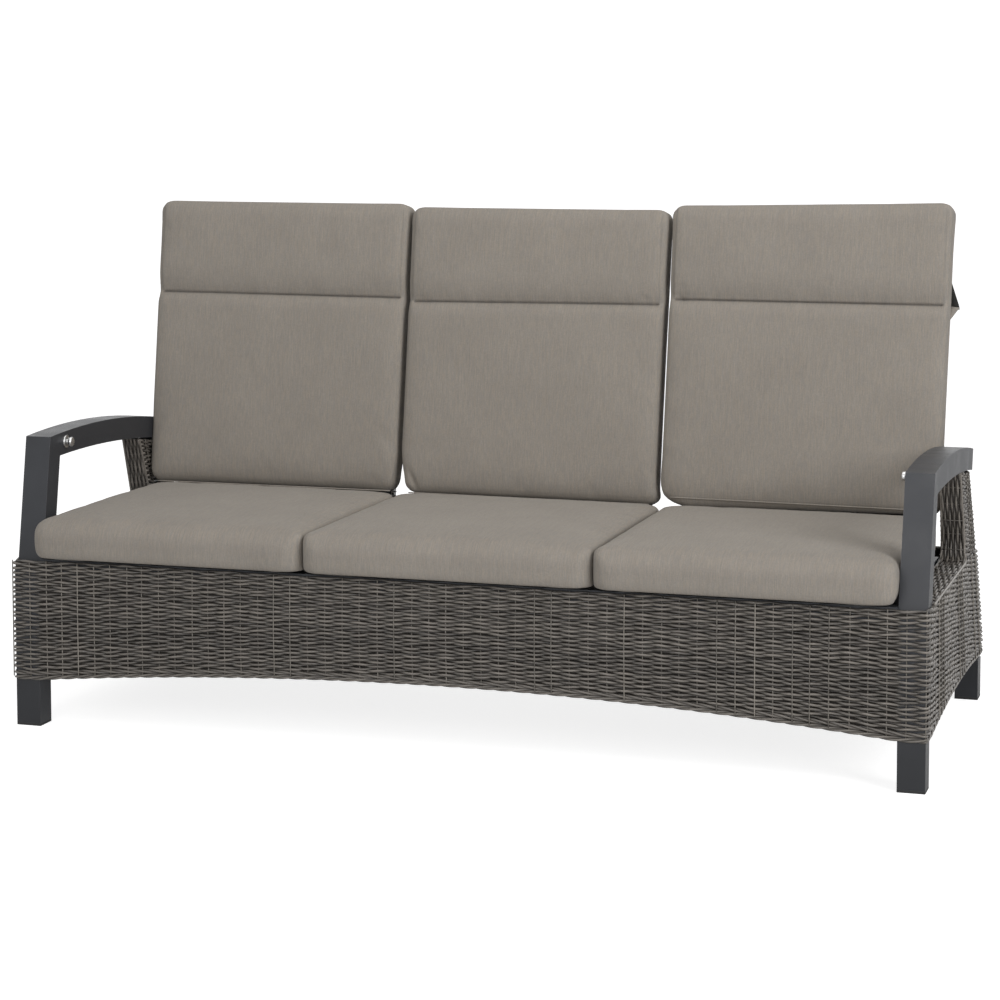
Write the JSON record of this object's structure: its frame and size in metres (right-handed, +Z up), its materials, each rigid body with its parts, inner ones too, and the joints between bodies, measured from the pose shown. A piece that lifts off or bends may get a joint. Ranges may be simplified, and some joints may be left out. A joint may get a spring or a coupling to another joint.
{
  "type": "reclining garden sofa",
  "caption": "Woven garden sofa with bent metal arms, loose seat cushions and tall cushioned backs; the outer backs recline on gas springs released by arm buttons.",
  "frame": {"origin": "on the floor, under the middle of the sofa's bounding box", "axes": "+X to the right seen from the front, +Y to the rear, +Z up"},
  "size_m": [1.9338, 0.9244, 1.0958],
  "materials": {
    "frame_paint": "powder-coated satin",
    "glide_plastic": "matt",
    "cane": "woven strand",
    "button_steel": "brushed",
    "rod_steel": "polished",
    "spring_black": "satin",
    "cable_black": "matt",
    "cushion_cloth": "melange weave",
    "hood_cloth": "plain weave"
  },
  "bodies": {
    "base": {"leg_front_left": "frame_paint", "leg_rear_left": "frame_paint", "upright_left": "frame_paint", "rail_side_left": "frame_paint", "bearer_left": "frame_paint", "arm_left": "frame_paint", "spring_bracket_left": "frame_paint", "glide_front_left": "glide_plastic", "glide_rear_left": "glide_plastic", "weave_side_left": "cane", "weave_wing_left": "cane", "button_collar_left": "button_steel", "release_cable_left": "cable_black", "leg_front_right": "frame_paint", "leg_rear_right": "frame_paint", "upright_right": "frame_paint", "rail_side_right": "frame_paint", "bearer_right": "frame_paint", "arm_right": "frame_paint", "spring_bracket_right": "frame_paint", "glide_front_right": "glide_plastic", "glide_rear_right": "glide_plastic", "weave_side_right": "cane", "weave_wing_right": "cane", "button_collar_right": "button_steel", "release_cable_right": "cable_black", "rail_front": "frame_paint", "rail_rear": "frame_paint", "rail_middle": "frame_paint", "rail_hinge": "frame_paint", "seat_deck": "frame_paint", "weave_front": "cane", "weave_rear": "cane", "hinge_bracket_left": "frame_paint", "seat_cushion_left": "cushion_cloth", "hinge_bracket_middle": "frame_paint", "back_frame_middle": "frame_paint", "hinge_rod_middle": "rod_steel", "back_weave_middle": "cane", "back_cushion_middle": "cushion_cloth", "seat_cushion_middle": "cushion_cloth", "headrest_hood_middle": "hood_cloth", "hinge_bracket_right": "frame_paint", "seat_cushion_right": "cushion_cloth"},
    "back_left": {"hinge_rod_left": "rod_steel", "back_frame_left": "frame_paint", "back_weave_left": "cane", "back_cushion_left": "cushion_cloth", "headrest_hood_left": "hood_cloth"},
    "rod_left": {"spring_rod_left": "rod_steel"},
    "cylinder_left": {"spring_cylinder_left": "spring_black"},
    "button_left": {"recline_button_left": "button_steel"},
    "back_right": {"hinge_rod_right": "rod_steel", "back_frame_right": "frame_paint", "back_weave_right": "cane", "back_cushion_right": "cushion_cloth", "headrest_hood_right": "hood_cloth"},
    "rod_right": {"spring_rod_right": "rod_steel"},
    "cylinder_right": {"spring_cylinder_right": "spring_black"},
    "button_right": {"recline_button_right": "button_steel"}
  },
  "joints": [
    {"name": "recline_left", "type": "hinge", "parent": "base", "child": "back_left", "pos_m": [-0.602, 0.20691, 0.395], "axis": [-1, 0, 0], "range_deg": [0, 32]},
    {"name": "spring_pivot_left", "type": "hinge", "parent": "base", "child": "rod_left", "pos_m": [-0.702, -0.13927, 0.275], "axis": [1, 0, 0], "range_deg": [-0.4, 0]},
    {"name": "spring_stroke_left", "type": "slide", "parent": "rod_left", "child": "cylinder_left", "axis": [0, 0.9921, 0.1252], "range_m": [-0.0442, 0]},
    {"name": "button_left_press", "type": "slide", "parent": "base", "child": "button_left", "axis": [-1, 0, 0], "range_m": [0, 0.004], "stiffness_N_per_m": 800, "springref_m": -0.001},
    {"name": "recline_right", "type": "hinge", "parent": "base", "child": "back_right", "pos_m": [0.602, 0.20691, 0.395], "axis": [-1, 0, 0], "range_deg": [0, 32]},
    {"name": "spring_pivot_right", "type": "hinge", "parent": "base", "child": "rod_right", "pos_m": [0.702, -0.13927, 0.275], "axis": [1, 0, 0], "range_deg": [-0.4, 0]},
    {"name": "spring_stroke_right", "type": "slide", "parent": "rod_right", "child": "cylinder_right", "axis": [0, 0.9921, 0.1252], "range_m": [-0.0442, 0]},
    {"name": "button_right_press", "type": "slide", "parent": "base", "child": "button_right", "axis": [1, 0, 0], "range_m": [0, 0.004], "stiffness_N_per_m": 800, "springref_m": -0.001}
  ],
  "couplings": [
    {"joint": "spring_pivot_left", "follows": "recline_left", "ratio": -0.011378},
    {"joint": "spring_stroke_left", "follows": "recline_left", "m_per_rad": -0.078857},
    {"joint": "spring_pivot_right", "follows": "recline_right", "ratio": -0.011378},
    {"joint": "spring_stroke_right", "follows": "recline_right", "m_per_rad": -0.078857}
  ]
}
